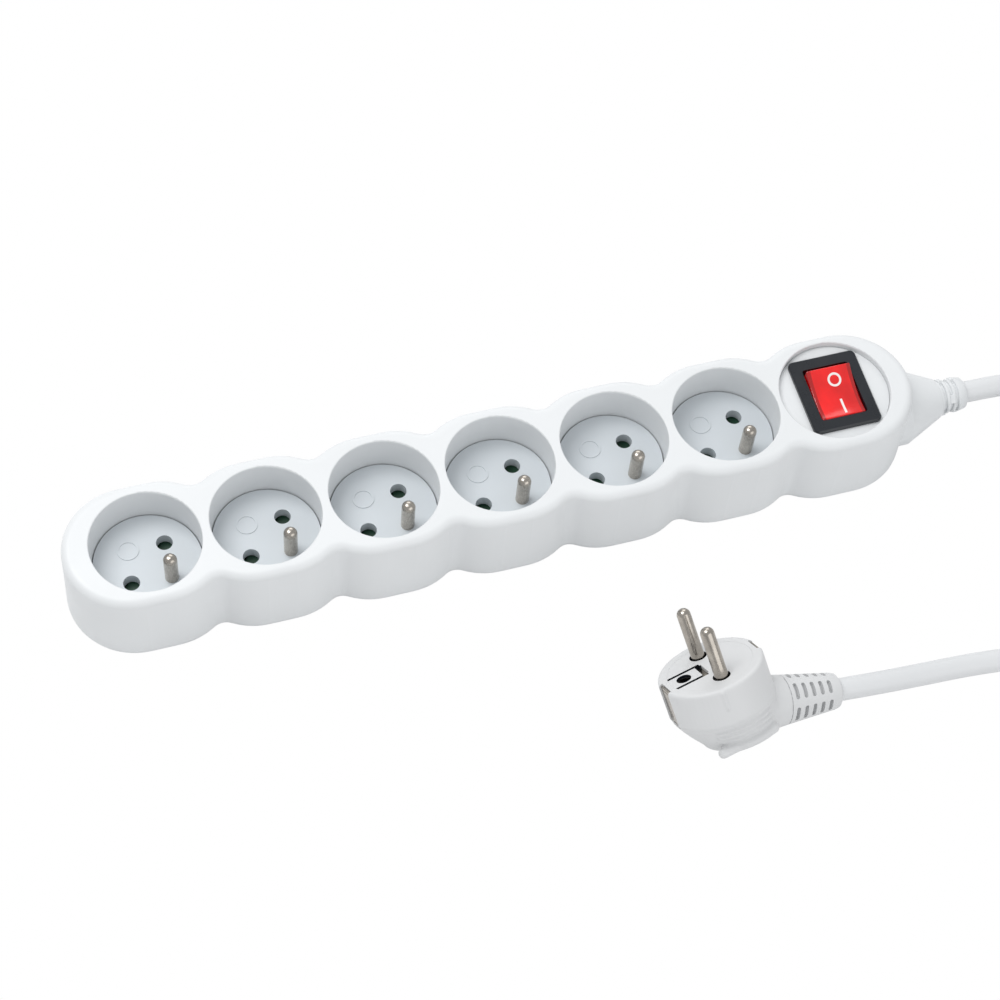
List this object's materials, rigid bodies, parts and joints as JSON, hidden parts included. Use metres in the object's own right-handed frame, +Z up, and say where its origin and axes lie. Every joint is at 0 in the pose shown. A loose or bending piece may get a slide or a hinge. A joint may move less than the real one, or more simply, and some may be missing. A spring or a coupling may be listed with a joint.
{
  "type": "power strip",
  "caption": "Mains power strip with a row of round pin-earth sockets, shuttered contacts, a rocker switch in a round field, and a moulded cord with an angled plug.",
  "frame": {"origin": "on the surface the strip lies on, under the middle of the housing without its cord", "axes": "+X along the row of sockets towards the switch and the cord, +Y across it, away from the plug, +Z up out of the sockets"},
  "size_m": [0.4554, 0.1407, 0.0512],
  "materials": {
    "white_shell": "glossy",
    "socket_floor": "glossy",
    "nickel": "satin",
    "bare_brass": "satin",
    "shutter_green": "satin",
    "spring_steel": "satin",
    "screw_steel": "satin",
    "switch_black": "satin",
    "rocker_red": "glossy",
    "lamp_red": "glossy",
    "cord_white": "satin",
    "plug_white": "satin",
    "wire_brown": "satin",
    "wire_blue": "satin",
    "wire_earth": "satin",
    "tie_black": "matt"
  },
  "bodies": {
    "strip": {"bottom_cover": "white_shell", "top_cover": "white_shell", "socket_insert_1": "socket_floor", "earth_pin_1": "nickel", "shutter_spring_1": "spring_steel", "socket_insert_2": "socket_floor", "earth_pin_2": "nickel", "shutter_spring_2": "spring_steel", "socket_insert_3": "socket_floor", "earth_pin_3": "nickel", "shutter_spring_3": "spring_steel", "socket_insert_4": "socket_floor", "earth_pin_4": "nickel", "shutter_spring_4": "spring_steel", "socket_insert_5": "socket_floor", "earth_pin_5": "nickel", "shutter_spring_5": "spring_steel", "socket_insert_6": "socket_floor", "earth_pin_6": "nickel", "shutter_spring_6": "spring_steel", "live_busbar": "bare_brass", "neutral_busbar": "bare_brass", "earth_busbar": "bare_brass", "switch_terminals": "bare_brass", "switch_plate": "white_shell", "switch_housing": "switch_black", "switch_lamp": "lamp_red", "housing_screws": "screw_steel", "cable_clamp": "white_shell", "clamp_screws": "screw_steel", "cable_gland": "cord_white", "supply_live_wire": "wire_brown", "supply_neutral_wire": "wire_blue", "switched_live_wire": "wire_brown", "switched_neutral_wire": "wire_blue", "earth_wire": "wire_earth", "plug_body": "plug_white", "plug_core": "plug_white", "plug_pin_1": "nickel", "plug_pin_2": "nickel", "plug_earth_straps": "nickel", "plug_strain_relief": "plug_white", "cord_sheath": "cord_white", "cord_lead": "cord_white", "cord_coil": "cord_white", "cord_tail": "cord_white", "cord_tie": "tie_black"},
    "rocker": {"switch_rocker": "rocker_red", "switch_plungers": "rocker_red"},
    "lever_1": {"contact_lever_1": "bare_brass"},
    "lever_2": {"contact_lever_2": "bare_brass"},
    "shutter_body_1": {"shutter_1": "shutter_green"},
    "shutter_body_2": {"shutter_2": "shutter_green"},
    "shutter_body_3": {"shutter_3": "shutter_green"},
    "shutter_body_4": {"shutter_4": "shutter_green"},
    "shutter_body_5": {"shutter_5": "shutter_green"},
    "shutter_body_6": {"shutter_6": "shutter_green"}
  },
  "joints": [
    {"name": "rocker_tilt", "type": "hinge", "parent": "strip", "child": "rocker", "pos_m": [0.12485, 0, 0.0318], "axis": [-1, 0, 0], "range_deg": [0, 20]},
    {"name": "lever_1_rock", "type": "hinge", "parent": "strip", "child": "lever_1", "pos_m": [0.12935, 0, 0.021], "axis": [-1, 0, 0], "range_deg": [-16, 0]},
    {"name": "lever_2_rock", "type": "hinge", "parent": "strip", "child": "lever_2", "pos_m": [0.12035, 0, 0.021], "axis": [-1, 0, 0], "range_deg": [-16, 0]},
    {"name": "shutter_1_slide", "type": "slide", "parent": "strip", "child": "shutter_body_1", "axis": [-0.6691, 0.7431, 0], "range_m": [0, 0.0064], "stiffness_N_per_m": 200, "springref_m": -0.002, "deforming": ["shutter_spring_1"]},
    {"name": "shutter_2_slide", "type": "slide", "parent": "strip", "child": "shutter_body_2", "axis": [-0.6691, 0.7431, 0], "range_m": [0, 0.0064], "stiffness_N_per_m": 200, "springref_m": -0.002, "deforming": ["shutter_spring_2"]},
    {"name": "shutter_3_slide", "type": "slide", "parent": "strip", "child": "shutter_body_3", "axis": [-0.6691, 0.7431, 0], "range_m": [0, 0.0064], "stiffness_N_per_m": 200, "springref_m": -0.002, "deforming": ["shutter_spring_3"]},
    {"name": "shutter_4_slide", "type": "slide", "parent": "strip", "child": "shutter_body_4", "axis": [-0.6691, 0.7431, 0], "range_m": [0, 0.0064], "stiffness_N_per_m": 200, "springref_m": -0.002, "deforming": ["shutter_spring_4"]},
    {"name": "shutter_5_slide", "type": "slide", "parent": "strip", "child": "shutter_body_5", "axis": [-0.6691, 0.7431, 0], "range_m": [0, 0.0064], "stiffness_N_per_m": 200, "springref_m": -0.002, "deforming": ["shutter_spring_5"]},
    {"name": "shutter_6_slide", "type": "slide", "parent": "strip", "child": "shutter_body_6", "axis": [-0.6691, 0.7431, 0], "range_m": [0, 0.0064], "stiffness_N_per_m": 200, "springref_m": -0.002, "deforming": ["shutter_spring_6"]}
  ],
  "couplings": [
    {"joint": "lever_1_rock", "follows": "rocker_tilt", "ratio": -0.8},
    {"joint": "lever_2_rock", "follows": "rocker_tilt", "ratio": -0.8}
  ]
}
